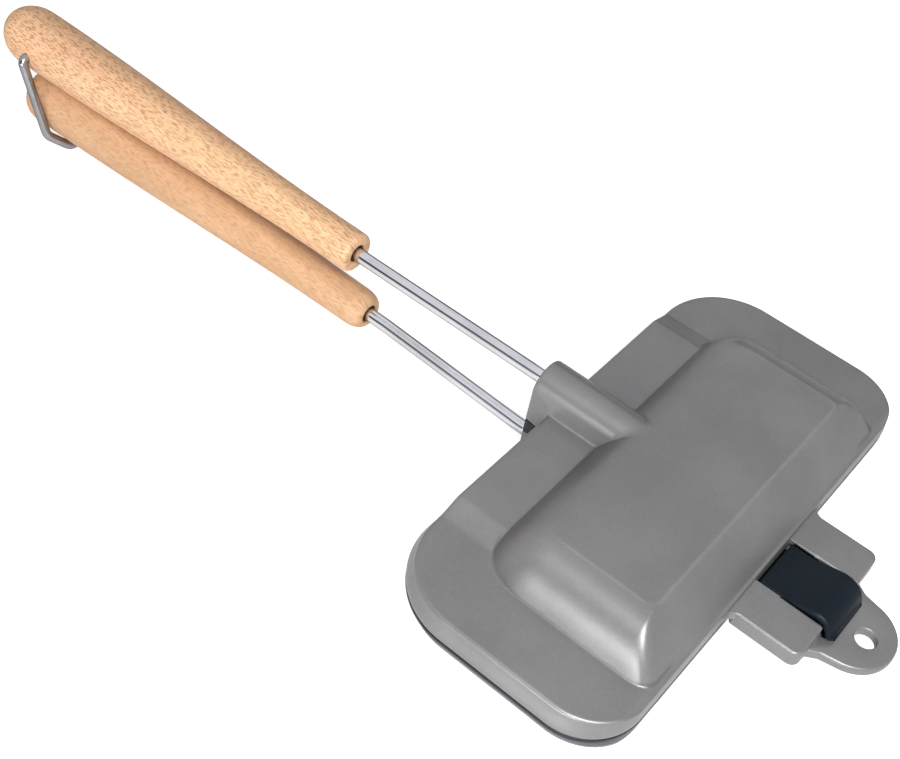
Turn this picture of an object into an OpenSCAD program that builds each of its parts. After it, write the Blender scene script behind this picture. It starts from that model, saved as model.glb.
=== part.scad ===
// Pie iron: two cast pans hinged at one long side, each with a steel rod and a beech grip.
// Millimetres, +Z up. X runs from the grips toward the hinge, Y along the pan's long side.
// The origin is on the lower pan's flat base, under the middle of the pan.

/* [Pan] */
// Length of the pan along Y
pan_w = 150.5; // [110:1:200]
// Depth of the pan along X, from the handle side to the hinge side
pan_d = 69.1; // [60:0.1:110]
// Depth of each half, from the parting plane to its flat outer face
half_h = 17.4; // [14:0.1:28]
// Thickness of the cast walls
wall = 2.2; // [1.6:0.1:3.5]
// Width of the flat land round the rim
rim_land = 3.2; // [2:0.1:6]
// Corner radius on the handle side
handle_corner_r = 22.5; // [10:0.5:32]
// Corner radius on the hinge side
hinge_corner_r = 16; // [8:0.5:26]
// Gap left between the two rims when the iron is shut
rim_gap = 0.3; // [0.2:0.05:0.8]

/* [Skirt and block] */
// Height of the low end flanges above the parting plane
flange_h = 5.7; // [4:0.1:9]
// How far the side walls lean in over that height
skirt_run = 1.5; // [0.5:0.1:4]
// Height of the upright rim band at the foot of the side walls
rim_band_h = 1.2; // [0.6:0.1:2.5]
// Length along Y of the block's flat outer face
face_w = 88; // [60:1:120]
// Run of the ramp at each end of the block
end_ramp_run = 12.4; // [5:0.1:20]
// Handle-side edge of the flat outer face, from the middle of the pan
face_x0 = -6; // [-20:0.5:0]
// Hinge-side edge of the flat outer face
face_x1 = 23.3; // [10:0.1:26]
// Run of the ramp on the handle side
handle_ramp_run = 12.5; // [5:0.1:20]
// Height at which the hinge-side slope meets the rim
hinge_edge_h = 3.4; // [2:0.1:6]
// Rise of the middle of the handle-side flange above its ends
step_h = 2.2; // [0:0.1:4]
// Width along Y of that raised middle
step_w = 88; // [50:1:110]
// Run of the short ramp at each end of the raised middle
step_run = 6.5; // [2:0.5:12]
// Fall per mm at the crest of each end ramp
end_ramp_start = 0.2; // [0:0.05:0.6]
// Power with which the end ramps steepen toward their foot
end_ramp_power = 2.2; // [1.2:0.1:3]
// Power with which the handle-side ramp steepens toward its foot
handle_ramp_power = 1.6; // [1.2:0.1:3]
// Fall per mm at the crest of the hinge-side slope
hinge_slope_start = 0.7; // [0:0.05:0.9]
// Power with which the hinge-side slope steepens toward the rim
hinge_slope_power = 1.6; // [1.2:0.1:3]
// Fillet at the foot of the ramps
foot_r = 1.6; // [0.5:0.1:3]
// Rounding in plan of the block's two handle-side corners
block_corner_r = 7; // [2:0.5:12]

/* [Rods] */
// Diameter of the steel rods
rod_d = 4; // [3:0.5:6]
// Height of each rod's axis above the parting plane at the pan
rod_h = 11.1; // [8:0.1:16]
// Height of the upper rod's axis above the parting plane in its grip
upper_grip_h = 10.4; // [9:0.05:18]
// Depth of each rod in its socket
socket_depth = 22; // [15:1:28]
// Length of each rod inside its grip
rod_in_grip = 82; // [40:1:110]
// Radius of the socket boss
boss_r = 6.2; // [4.5:0.1:9]
// How far the socket boss stands out beyond the rim
boss_out = 5; // [3:0.1:12]
// Straight run of each rod beyond its socket, before it leans in
rod_straight = 6; // [3:0.5:12]
// How far the rods and the wire swell where they are bent
bend_swell = 0.03; // [0.02:0.01:0.1]

/* [Grips] */
// Length of the upper grip
grip_len = 149; // [100:1:180]
// How much shorter the lower grip is
lower_grip_short = 3.5; // [0:0.5:10]
// Distance from the rim to the upper grip's front end
grip_gap = 72; // [40:0.5:120]
// How far the lower grip is set toward the pan from the upper one
grip_shift = 6.5; // [0:0.5:20]
// Radius of a grip at its front end
grip_front_r = 6; // [4.5:0.1:8]
// Rounding of a grip's front edge
grip_edge_r = 1.4; // [0.5:0.1:2.5]
// Radius of a grip at its belly
grip_belly_r = 9.45; // [7:0.05:13]
// Distance from the front end to the belly
grip_belly_at = 140; // [80:1:170]
// Length of the rounded far end
grip_dome = 12; // [6:0.5:20]
// Radius of the mouth hole round the rod
mouth_r = 2.85; // [2.3:0.05:4]
// Depth of the mouth hole
mouth_depth = 14; // [5:0.5:30]

/* [Locking bail] */
// Diameter of the bail wire
wire_d = 2.9; // [2:0.1:4]
// Distance from the upper grip's front end to the bail's pivot
pivot_at = 131; // [90:0.5:140]
// Lean of the bail toward the pan when it is locked
bail_lean = 20; // [5:0.5:25]
// Radius of the four bends round the lower grip, at the wire's axis
bail_bend_r = 3.5; // [2:0.1:5]
// Radius of the bends where the wire turns into the grip
bail_end_bend_r = 1.75; // [1.6:0.05:3]
// Depth of each bail end in the grip
bail_end_depth = 6.5; // [3:0.5:8]

/* [Hinge and hanging tab] */
// Distance from the rim to the hinge bar's axis
bar_out = 16.4; // [12:0.1:22]
// Height of the hinge bar's axis above the lower base face
bar_z = 15.6; // [10:0.1:20]
// Radius of the hinge bar
bar_r = 3.4; // [2:0.1:5]
// Gap between the hook and each ear
hook_side_gap = 0.5; // [0.3:0.1:2]
// Thickness of the hook round the bar
hook_t = 3.9; // [2:0.1:6]
// Depth of the tongue's top face under the ears' top face
tongue_drop = 0.8; // [0.5:0.1:3]
// Distance from the rim at which the tongue starts to rise over the bar
tongue_flat = 7.5; // [3:0.5:10]
// Angle at which the hook's lower jaw ends, from +X
jaw_end = 182; // [180:1:220]
// Width of the window between the ears
window_w = 17.2; // [10:0.1:26]
// Width over both ears
ears_w = 41.4; // [30:0.1:60]
// Height of the ears' top face above the parting plane
ear_top = 3; // [1:0.1:5]
// Thickness of the ears
ear_t = 5.4; // [3:0.1:8]
// Length of the ears' outer ends that run down to the tab
ear_foot = 5; // [3:0.1:8]
// How far each of those feet is set in from the ear's side
foot_in = 5; // [1:0.5:8]
// How far the ears stand out beyond the rim
ear_out = 19.4; // [14:0.1:28]
// Rounding of the ears' outer corners
ear_corner_r = 2.5; // [1:0.1:5]
// Height of the tab's top face above the lower base face
tab_top = 15.2; // [10:0.1:20]
// Thickness of the tab
tab_t = 3; // [1.5:0.1:4]
// Radius of the tab's rounded end
tab_r = 11.2; // [7:0.1:16]
// Distance from the rim to the centre of the tab's rounded end
tab_out = 25; // [18:0.1:36]
// Distance from the rim to the centre of the hanging hole
hang_out = 28.4; // [20:0.1:40]
// Radius of the hanging hole
hang_r = 2.9; // [2:0.1:5]

/* [Fits] */
// Radial clearance of each rod in its socket and grip
rod_fit = 0.02; // [0.01:0.01:0.1]
// Radial clearance of the hinge bar in the hook
bar_fit = 0.1; // [0.05:0.01:0.1]
// Radial clearance of the bail's ends in the grip
wire_fit = 0.08; // [0.05:0.01:0.1]
// Gap kept between pieces that pass each other
pass_gap = 0.35; // [0.25:0.05:0.6]

/* [Hidden] */
$fn = 64;
eps = 0.01;
x0 = -pan_d / 2;
x1 = pan_d / 2;
part_z = half_h;
cast_grey = [0.55, 0.545, 0.54];
coat_black = [0.09, 0.1, 0.11];
steel = [0.78, 0.79, 0.8];
beech = [0.9, 0.74, 0.55];
wire_steel = [0.7, 0.71, 0.72];
bar_x = x1 + bar_out;
hook_in_r = bar_r + bar_fit;
hook_out_r = hook_in_r + hook_t;
hook_w = window_w - 2 * hook_side_gap;
socket_end_x = x0 - boss_out + socket_depth;
upper_grip_x = x0 - grip_gap;
lower_grip_x = upper_grip_x + grip_shift;
lower_grip_h = 2 * grip_belly_r + pass_gap - upper_grip_h;
pivot_x = upper_grip_x - pivot_at;
pivot_z = part_z + upper_grip_h;
end_bend_r = max(bail_end_bend_r, wire_d / 2 + 0.2);
side_y = grip_belly_r + max(pass_gap + wire_d / 2, end_bend_r + 0.05);
hug_r = grip_belly_r + pass_gap + wire_d / 2;
bail_axis = (pivot_z - part_z + lower_grip_h) / cos(bail_lean);
bail_drop = bail_axis + hug_r / cos(bail_lean);
bail_reach = hug_r * norm([1, 1 / cos(bail_lean)]);
bail_side = bail_axis + bail_reach - side_y;
bail_bar_y = bail_reach - hug_r / cos(bail_lean);
flange_drop = half_h - flange_h;

// Half-wave from 0 to 1
function ease(t) = (1 - cos(180 * min(1, max(0, t)))) / 2;

// Radius of a grip of length len at a distance from its front end
function grip_r(s, len) = let (
    swell = (grip_belly_r - grip_front_r) * ease(s / grip_belly_at),
    d = max(0, s - (len - grip_dome)) / grip_dome
  ) (grip_front_r + swell) * sqrt(max(0, 1 - d * d));

// How far a corner of an offset outline shifts, for walls of thickness t that turn by angle a
function shift(t, a) = t * tan(a / 2);

// Unit vector along v
function unit(v) = v / norm(v);

// Points of a round of radius r in place of corner b, between neighbours a and c
function round_corner(a, b, c, r, n = 4) = let (
    u = unit(a - b),
    v = unit(c - b),
    half = acos(max(-1, min(1, u * v))) / 2,
    centre = b + unit(u + v) * r / sin(half),
    p = b + u * r / tan(half) - centre,
    q = b + v * r / tan(half) - centre
  ) [for (k = [0:n]) let (w = k / n) centre + r * unit(p * (1 - w) + q * w)];

// Fall of a ramp at distance d past its crest: a straight start that then steepens
function fall(d, run, depth, start, power) =
  start * d + (depth - start * run) * pow(d / run, power);

// Fall per mm of that ramp at the same place
function steepness(d, run, depth, start, power) =
  start + (depth - start * run) * power / run * pow(d / run, power - 1);

// Angle of a ramp at its foot
function foot_angle(run, depth, start, power) = atan(steepness(run, run, depth, start, power));

// Points of a ramp from its crest at [0, 0] to its foot, moved inward by t square to the ramp.
// The crest and the foot are mitred with the level faces beside them.
function ramp(t, run, depth, start, power, n = 8) = concat(
    [[-shift(t, atan(start)), -t]],
    [for (k = [1:n - 1]) let (
        d = run * k / n,
        out = [steepness(d, run, depth, start, power), 1]
      ) [d, -fall(d, run, depth, start, power)] - t * out / norm(out)],
    [[run - shift(t, foot_angle(run, depth, start, power)), -depth - t]]
  );

// Outline along X of one half: handle-side flange, ramp, flat face and hinge-side slope.
// An inset of 0 gives the outer face and an inset of the wall thickness the inner one.
module x_outline(inset) {
  handle = ramp(inset, handle_ramp_run, flange_drop, 0, handle_ramp_power);
  hinge = ramp(inset, x1 - face_x1, half_h - hinge_edge_h, hinge_slope_start, hinge_slope_power);
  left = [for (p = handle) [face_x0 - p[0], half_h + p[1]]];
  right = [for (p = hinge) [face_x1 + p[0], half_h + p[1]]];
  n = len(left) - 1;
  far = left[n] - [5, 0];
  polygon(concat(
    [[far[0], -1], far],
    round_corner(far, left[n], left[n - 1], foot_r),
    [for (k = [n - 1:-1:0]) left[k]],
    right,
    [[right[n][0], -1]]
  ));
}

// Outline along Y of the block: ramps at both ends of the flat face
module y_outline(inset) {
  end = ramp(inset, end_ramp_run, flange_drop, end_ramp_start, end_ramp_power);
  side = [for (p = end) [face_w / 2 + p[0], half_h + p[1]]];
  n = len(side) - 1;
  far = side[n] + [5, 0];
  half = concat(
    [for (k = [0:n - 1]) side[k]],
    round_corner(side[n - 1], side[n], far, foot_r),
    [far, [far[0], -1]]
  );
  polygon(concat(
    half,
    [for (k = [len(half) - 1:-1:0]) [-half[k][0], half[k][1]]]
  ));
}

// Plan that rounds the block's two handle-side corners, over their whole height
module block_plan(inset) {
  r = block_corner_r + inset / 2;
  handle_a = foot_angle(handle_ramp_run, flange_drop, 0, handle_ramp_power);
  end_a = foot_angle(end_ramp_run, flange_drop, end_ramp_start, end_ramp_power);
  cx = face_x0 - handle_ramp_run + shift(inset, handle_a) + r;
  cy = face_w / 2 + end_ramp_run - shift(inset, end_a) - r;
  difference() {
    translate([x0 - 5, -pan_w]) square([pan_d + 5 - (inset > 0 ? rim_land : 0), 2 * pan_w]);
    for (side = [-1, 1]) scale([1, side]) difference() {
      translate([cx - 3 * r, cy]) square([3 * r, 3 * r]);
      translate([cx, cy]) circle(r = r);
    }
  }
}

// Extrude an outline drawn in XZ along Y, centred
module along_y(len) {
  translate([0, len / 2, 0]) rotate([90, 0, 0]) linear_extrude(len) children();
}

// Extrude an outline drawn in YZ along X, from xa to xb
module along_x(xa, xb) {
  translate([xa, 0, 0]) rotate([90, 0, 90]) linear_extrude(xb - xa) children();
}

// The four-sided block in the middle of one half
module block(inset) {
  intersection() {
    along_y(2 * pan_w) x_outline(inset);
    along_x(x0 - 5, x1 + 5) y_outline(inset);
    linear_extrude(half_h) block_plan(inset);
  }
}

// Wall outline that stands upright for the rim band and then leans in up to height h
module lean_wall(half, run, band, h) {
  polygon([
    [-half, 0],
    [half, 0],
    [half, band],
    [half - run, h],
    [-half + run, h],
    [-half, band]
  ]);
}

// One leaning corner, as a true cone on a short cylinder
module lean_corner(r, run, band, h) {
  cylinder(r = r, h = band);
  translate([0, 0, band]) cylinder(r1 = r, r2 = r - run, h = h - band);
}

// Slab with a rounded plan whose side walls lean in
module slab(inset, run, band, h) {
  half_d = pan_d / 2 - inset;
  half_w = pan_w / 2 - inset;
  ra = handle_corner_r - inset;
  rb = hinge_corner_r - inset;
  along_x(-half_d + ra, half_d - rb) lean_wall(half_w, run, band, h);
  along_y(2 * (half_w - ra)) lean_wall(half_d, run, band, h);
  intersection() {
    along_y(2 * (half_w - rb)) lean_wall(half_d, run, band, h);
    translate([0, -pan_w, 0]) cube([pan_d, 2 * pan_w, h]);
  }
  for (side = [-1, 1]) {
    translate([-half_d + ra, side * (half_w - ra), 0]) lean_corner(ra, run, band, h);
    translate([half_d - rb, side * (half_w - rb), 0]) lean_corner(rb, run, band, h);
  }
}

// Raised middle of the handle-side flange, with a short ramp at each end
module flange_step(inset) {
  top = step_w / 2;
  foot = top + step_run;
  xa = x0 + (inset > 0 ? rim_land : skirt_run);
  if (step_h > 0) {
    along_x(xa, face_x0) polygon([
      [-foot + inset, -1],
      [-foot + inset, flange_h - inset],
      [-top + inset, flange_h + step_h - inset],
      [top - inset, flange_h + step_h - inset],
      [foot - inset, flange_h - inset],
      [foot - inset, -1]
    ]);
  }
}

// Outer form of one half, parting plane at z = 0
module half_outside() {
  slab(0, skirt_run, rim_band_h, flange_h);
  intersection() {
    union() {
      block(0);
      flange_step(0);
    }
    translate([x0, -pan_w / 2, 0]) cube([pan_d, pan_w, 2 * half_h]);
  }
  socket_boss();
}

// Round boss for the rod, on a straight foot
module socket_boss() {
  len = face_x0 + 1 - (x0 - boss_out);
  translate([x0 - boss_out, 0, rod_h]) rotate([0, 90, 0]) cylinder(r = boss_r, h = len);
  translate([x0 - boss_out, -boss_r, 2.2]) cube([len, 2 * boss_r, rod_h - 2.2]);
}

// Hollow of one half, open at the parting plane
module half_inside() {
  translate([0, 0, -eps]) slab(rim_land, skirt_run / 2, 0.5, flange_h - wall);
  block(wall);
  flange_step(wall);
}

// Hole for the rod
module socket_hole() {
  translate([x0 - boss_out - 1, 0, rod_h]) rotate([0, 90, 0])
    cylinder(d = rod_d + 2 * rod_fit, h = socket_depth + 1);
}

// One half: shell, socket and rim, parting plane at z = 0
module half_shell() {
  difference() {
    half_outside();
    half_inside();
    socket_hole();
    translate([-pan_d, -pan_w, -5]) cube([3 * pan_d, 2 * pan_w, 5 + rim_gap / 2]);
  }
}

// Plan of one ear with rounded outer corners
module ear_plan(half_w, len) {
  union() {
    square([len - ear_corner_r, half_w]);
    square([len, half_w - ear_corner_r]);
    translate([len - ear_corner_r, half_w - ear_corner_r]) circle(r = ear_corner_r);
  }
}

// Ears, hinge bar and hanging tab, all one casting with the upper half
module ears_and_tab() {
  difference() {
    union() {
      ears();
      tab();
    }
    translate([0, -window_w / 2, 0]) cube([bar_x, window_w, 3 * half_h]);
    translate([0, -window_w / 2, tab_top]) cube([3 * pan_d, window_w, half_h]);
    hang_hole();
  }
  hinge_bar();
}

// Both ears: a thin root over the rim, a full block clear of the lower half and a foot on the tab
module ears() {
  top = part_z + ear_top;
  low = top - ear_t;
  root = part_z + rim_gap / 2;
  for (side = [-1, 1]) scale([1, side, 1]) {
    translate([x1 - 1, 0, root]) linear_extrude(top - root) ear_plan(ears_w / 2, ear_out + 1);
    translate([x1 + pass_gap, 0, low]) linear_extrude(ear_t)
      ear_plan(ears_w / 2, ear_out - pass_gap);
    translate([x1 + ear_out - ear_foot, 0, tab_top - tab_t]) linear_extrude(top - tab_top + tab_t)
      ear_plan(ears_w / 2 - foot_in, ear_foot);
  }
}

// Hole for a hook or a nail
module hang_hole() {
  translate([x1 + hang_out, 0, tab_top - tab_t - 1]) cylinder(r = hang_r, h = tab_t + 2);
}

// Low plate that joins the ears' outer ends and carries the hanging hole
module tab() {
  translate([0, 0, tab_top - tab_t]) linear_extrude(tab_t) tab_plan();
}

// Plan of the tab: neck between the ears and a round end, with filleted flanks
module tab_plan() {
  cx = x1 + tab_out;
  ex = x1 + ear_out;
  neck = tab_r + 1.4;
  translate([bar_x, -neck]) square([ex - bar_x + 0.5, 2 * neck]);
  polygon([
    [ex - 1, -neck - 1.6],
    [ex - 1, neck + 1.6],
    [ex + 0.8, neck],
    [cx + tab_r * cos(75), tab_r * sin(75)],
    [cx + tab_r * cos(75), -tab_r * sin(75)],
    [ex + 0.8, -neck]
  ]);
  translate([cx, 0]) circle(r = tab_r);
}

// Round bar across the window, under the hook
module hinge_bar() {
  translate([bar_x, -window_w / 2 - 2, bar_z]) rotate([-90, 0, 0])
    cylinder(r = bar_r, h = window_w + 4);
}

// Tongue that leaves the lower rim, rises through the window and curls over the bar.
// Its back edge keeps inside the circle that the upper rim swings on.
module hook() {
  root = [x1 + pass_gap, part_z - rim_gap];
  top_z = part_z + ear_top - tongue_drop;
  swing_r = bar_out - pass_gap;
  lip = [bar_x - sqrt(swing_r * swing_r - pow(top_z - bar_z, 2)), top_z];
  rise = [x1 + tongue_flat, top_z];
  to_bar = [bar_x, bar_z] - rise;
  tangent = atan2(to_bar[1], to_bar[0]) + 180 - acos(hook_out_r / norm(to_bar));
  along_y(hook_w) difference() {
    union() {
      translate([bar_x, bar_z]) circle(r = hook_out_r);
      polygon([
        [x1 - rim_land, part_z - hinge_edge_h - 3],
        [x1 - rim_land, root[1]],
        root,
        lip,
        rise,
        [bar_x + hook_out_r * cos(tangent), bar_z + hook_out_r * sin(tangent)],
        [bar_x, bar_z],
        [bar_x + hook_out_r * cos(jaw_end), bar_z + hook_out_r * sin(jaw_end)],
        [x1 - rim_land + 0.5, part_z - hinge_edge_h - 4]
      ]);
    }
    translate([bar_x, bar_z]) circle(r = hook_in_r);
    jaw_mouth();
  }
}

// The part of the ring that stays open, from the lower jaw round to just above the tab
module jaw_mouth() {
  far = 3 * hook_out_r;
  translate([bar_x, bar_z]) polygon([
    [0, 0],
    [hook_out_r * cos(jaw_end), hook_out_r * sin(jaw_end)],
    [hook_out_r * cos(jaw_end), -2 * far],
    [2 * far, -2 * far],
    [2 * far, tab_top - bar_z + pass_gap],
    [0, tab_top - bar_z + pass_gap]
  ]);
}

module upper_pan() {
  color(cast_grey) {
    translate([0, 0, part_z]) half_shell();
    ears_and_tab();
  }
}

module lower_pan() {
  color(coat_black) {
    translate([0, 0, part_z]) mirror([0, 0, 1]) half_shell();
    hook();
  }
}

// Rod with a straight end in the socket, a slight lean and a straight end in the grip.
// end_h is its height above the parting plane in the grip and grip_x the grip's front.
module rod(grip_x, end_h) {
  xa = x0 - boss_out - rod_straight;
  xb = grip_x + rod_straight;
  run = xa - xb;
  drop = rod_h - end_h;
  translate([socket_end_x, 0, rod_h]) rotate([0, -90, 0])
    cylinder(d = rod_d, h = socket_end_x - xa);
  translate([xa, 0, rod_h]) sphere(r = rod_d / 2 + bend_swell);
  translate([xa, 0, rod_h]) rotate([0, -90 - atan2(drop, run), 0])
    cylinder(d = rod_d, h = sqrt(run * run + drop * drop));
  translate([xb, 0, end_h]) sphere(r = rod_d / 2 + bend_swell);
  translate([xb, 0, end_h]) rotate([0, -90, 0])
    cylinder(d = rod_d, h = rod_in_grip + rod_straight);
}

module upper_rod() {
  color(steel) translate([0, 0, part_z]) rod(upper_grip_x, upper_grip_h);
}

module lower_rod() {
  color(steel) translate([0, 0, part_z]) mirror([0, 0, 1]) rod(lower_grip_x, lower_grip_h);
}

// Turned grip of length len along -X from its front end, with the rod's hole
module grip(len) {
  steps = 30;
  body = len - grip_dome;
  difference() {
    rotate([0, -90, 0]) rotate_extrude() polygon(concat(
      [[0, 0]],
      [for (k = [0:4]) let (a = k * 22.5) [
        grip_front_r - grip_edge_r * (1 - sin(a)),
        grip_edge_r * (1 - cos(a))
      ]],
      [for (k = [1:steps]) let (s = grip_edge_r + (body - grip_edge_r) * k / steps) [grip_r(s, len), s]],
      [for (k = [1:8]) let (s = body + grip_dome * sin(k * 10.8)) [grip_r(s, len), s]],
      [[0, len]]
    ));
    rotate([0, -90, 0]) translate([0, 0, -1])
      cylinder(r = rod_d / 2 + rod_fit, h = rod_in_grip + 1.5);
    rotate([0, -90, 0]) translate([0, 0, -1]) cylinder(r = mouth_r, h = mouth_depth + 1);
  }
}

// Hole across the upper grip for the bail's ends
module pivot_hole() {
  translate([pivot_x, 0, pivot_z]) rotate([90, 0, 0])
    cylinder(r = wire_d / 2 + wire_fit, h = 3 * grip_belly_r, center = true);
}

module upper_grip() {
  color(beech) difference() {
    translate([upper_grip_x, 0, pivot_z]) grip(grip_len);
    pivot_hole();
  }
}

module lower_grip() {
  color(beech) translate([lower_grip_x, 0, part_z - lower_grip_h])
    grip(grip_len - lower_grip_short);
}

// Straight length of the wire along +Z
module wire(len) {
  cylinder(d = wire_d, h = len, $fn = 32);
}

// Wire through points [y, z], with a slightly swollen joint at each inner point
module wire_path(points) {
  for (k = [1:len(points) - 1]) {
    run = points[k] - points[k - 1];
    translate([0, points[k - 1][0], points[k - 1][1]])
      rotate([-atan2(run[0], run[1]), 0, 0]) wire(norm(run));
  }
  for (k = [1:len(points) - 2]) {
    translate([0, points[k][0], points[k][1]]) sphere(r = wire_d / 2 + bend_swell);
  }
}

// Quarter bend that turns the wire into the grip, and its end there
module bail_end() {
  end_y = grip_belly_r - bail_end_depth;
  translate([0, side_y - end_bend_r, end_bend_r]) rotate([0, 90, 0]) rotate_extrude(angle = 90)
    translate([end_bend_r, 0]) circle(d = wire_d, $fn = 32);
  translate([0, end_y, 0]) rotate([-90, 0, 0]) wire(side_y - end_bend_r - end_y);
}

// The loop, drawn pivot at the origin, sides along +Z and far bar on +Z.
// Two half-right bends on each side lead the wire round the lower grip.
module bail_loop() {
  corners = [[side_y, end_bend_r], [side_y, bail_side], [bail_bar_y, bail_drop], [0, bail_drop]];
  half = concat(
    [corners[0]],
    round_corner(corners[0], corners[1], corners[2], bail_bend_r, 2),
    round_corner(corners[1], corners[2], corners[3], bail_bend_r, 2)
  );
  wire_path(concat(half, [for (k = [len(half) - 1:-1:0]) [-half[k][0], half[k][1]]]));
  bail_end();
  mirror([0, 1, 0]) bail_end();
}

module locking_bail() {
  color(wire_steel) translate([pivot_x, 0, pivot_z]) rotate([0, 180 - bail_lean, 0]) bail_loop();
}

upper_pan();
lower_pan();
upper_rod();
lower_rod();
upper_grip();
lower_grip();
locking_bail();
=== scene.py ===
"""Looks of a pie iron: two cast pan halves, steel rods, turned beech grips and a wire bail.

Sizes in the classes are millimetres in the part's own frame. X runs from the grips to the hinge,
Y along the pan's long side and Z up, with the origin on the lower half's base face.
"""
import logging
import math
from dataclasses import dataclass
from enum import Enum
from typing import Callable, Iterable, Sequence

import bmesh
import bpy
import numpy as np
from mathutils import Matrix, Vector


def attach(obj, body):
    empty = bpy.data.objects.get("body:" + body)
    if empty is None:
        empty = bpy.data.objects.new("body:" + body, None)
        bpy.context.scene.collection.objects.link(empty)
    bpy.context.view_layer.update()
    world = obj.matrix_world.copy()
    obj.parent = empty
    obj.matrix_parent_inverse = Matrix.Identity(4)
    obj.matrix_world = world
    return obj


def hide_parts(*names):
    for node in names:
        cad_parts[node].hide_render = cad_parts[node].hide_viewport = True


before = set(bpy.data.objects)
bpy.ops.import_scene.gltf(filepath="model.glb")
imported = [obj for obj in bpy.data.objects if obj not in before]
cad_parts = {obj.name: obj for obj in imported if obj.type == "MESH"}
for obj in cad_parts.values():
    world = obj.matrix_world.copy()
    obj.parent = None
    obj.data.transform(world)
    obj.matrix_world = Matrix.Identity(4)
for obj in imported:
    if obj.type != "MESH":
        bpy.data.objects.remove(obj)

MM = 0.001
log = logging.getLogger("pie_iron")

Array = np.ndarray
Colour = tuple[float, float, float]
Material = bpy.types.Material
Node = bpy.types.Node
Piece = bpy.types.Object
Socket = bpy.types.NodeSocket


class Plane(Enum):
    """Plane in which an outline is drawn, with the axis along which it is thickened."""

    PLAN = (0, 1, 2)
    SIDE = (0, 2, 1)


class Side(Enum):
    """Side of the symmetry plane, as the sign of Y."""

    NEAR = -1
    FAR = 1


# --- Shape formulas


def ease(t: Array) -> Array:
    """Smooth step from 0 to 1: three t squared less two t cubed, held outside 0 to 1.

    Args:
        t: Place along the step.

    Returns:
        Height of the step.
    """
    t = np.clip(t, 0.0, 1.0)
    return t * t * (3.0 - 2.0 * t)


def soft_max(a: Array, b: Array, k: float) -> Array:
    """Larger of two heights, filleted where they differ by less than k.

    The fillet adds k/4 times the square of the share of k that the difference leaves.

    Args:
        a: First height.
        b: Second height.
        k: Reach of the fillet.

    Returns:
        Blended height.
    """
    share = np.maximum(k - np.abs(a - b), 0.0) / k
    return np.maximum(a, b) + share * share * k * 0.25


def soft_min(a: Array, b: Array, k: float) -> Array:
    """Smaller of two heights, rounded where they differ by less than k."""
    return -soft_max(-a, -b, k)


def past_edge(d: Array, round_r: float) -> Array:
    """Distance past an edge, growing from 0 on a hyperbola whose vertex is round_r wide.

    Args:
        d: Signed distance, positive past the edge.
        round_r: Softness of the start.

    Returns:
        Softened distance, never negative.
    """
    d = np.maximum(d, 0.0)
    return np.sqrt(d * d + round_r * round_r) - round_r


def unit(v: Array) -> Array:
    """Vectors along the last axis, scaled to length 1."""
    return v / np.maximum(np.linalg.norm(v, axis=-1, keepdims=True), 1e-12)


def rounded(corners: Array, radii: Array, steps: int, closed: bool) -> Array:
    """Replaces each corner of a path by an arc that is tangent to both its sides.

    The arc's centre lies on the corner's bisector, radius over the sine of half the angle away.
    Its points come from blending the two tangent points' directions from that centre.

    Args:
        corners: Corner points, one per row, in two or three dimensions.
        radii: Arc radius of each corner, where 0 keeps the corner.
        steps: Spans in each arc.
        closed: Whether the last corner joins the first.

    Returns:
        Points of the path, without repeats.
    """
    before, after = np.roll(corners, 1, 0), np.roll(corners, -1, 0)
    u, v = unit(before - corners), unit(after - corners)
    half = np.arccos(np.clip((u * v).sum(1), -1.0, 1.0)) / 2.0
    radii = np.where(half > math.radians(89.5), 0.0, np.asarray(radii, float))[:, None]
    half = np.clip(half, 1e-3, None)[:, None]
    centre = corners + unit(u + v) * radii / np.sin(half)
    first = corners + u * radii / np.tan(half) - centre
    last = corners + v * radii / np.tan(half) - centre
    w = np.linspace(0.0, 1.0, steps + 1)[None, :, None]
    arcs = centre[:, None] + radii[:, None] * unit(first[:, None] * (1 - w) + last[:, None] * w)
    arcs = np.where(radii[:, None] > 0, arcs, corners[:, None])
    if not closed:
        arcs[0], arcs[-1] = corners[0], corners[-1]
    points = arcs.reshape(-1, corners.shape[1])
    gap = np.linalg.norm(points - np.roll(points, 1, 0), axis=1)
    keep = gap > 1e-5
    keep[0] = keep[0] or not closed
    return points[keep]


def arc(centre: Sequence[float], r: float, start: float, end: float, steps: int) -> Array:
    """Points of a circular arc in a plane.

    Args:
        centre: Centre of the arc.
        r: Its radius.
        start: First angle in degrees.
        end: Last angle in degrees.
        steps: Spans in the arc.

    Returns:
        Points, one per row.
    """
    a = np.radians(np.linspace(start, end, steps + 1))
    return np.stack([centre[0] + r * np.cos(a), centre[1] + r * np.sin(a)], 1)


def resampled(path: Array, count: int) -> Array:
    """Path cut into equal steps of its own length.

    Args:
        path: Points of an open path.
        count: Number of points wanted.

    Returns:
        Evenly spaced points, both ends included.
    """
    length = np.concatenate([[0.0], np.cumsum(np.linalg.norm(np.diff(path, axis=0), axis=1))])
    s = np.linspace(0.0, length[-1], count)
    return np.stack([np.interp(s, length, path[:, k]) for k in range(path.shape[1])], 1)


def inset(outline: Array, d: float) -> Array:
    """Closed outline, drawn anticlockwise, moved inward by d along its mitred normals.

    Args:
        outline: Points of the outline.
        d: Distance inward.

    Returns:
        Moved points.
    """
    along = unit(np.roll(outline, -1, 0) - outline)
    normal = np.stack([-along[:, 1], along[:, 0]], 1)
    before = np.roll(normal, 1, 0)
    mitre = (normal + before) / np.maximum(1.0 + (normal * before).sum(1, keepdims=True), 0.35)
    return outline + mitre * d


# --- Meshes


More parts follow.
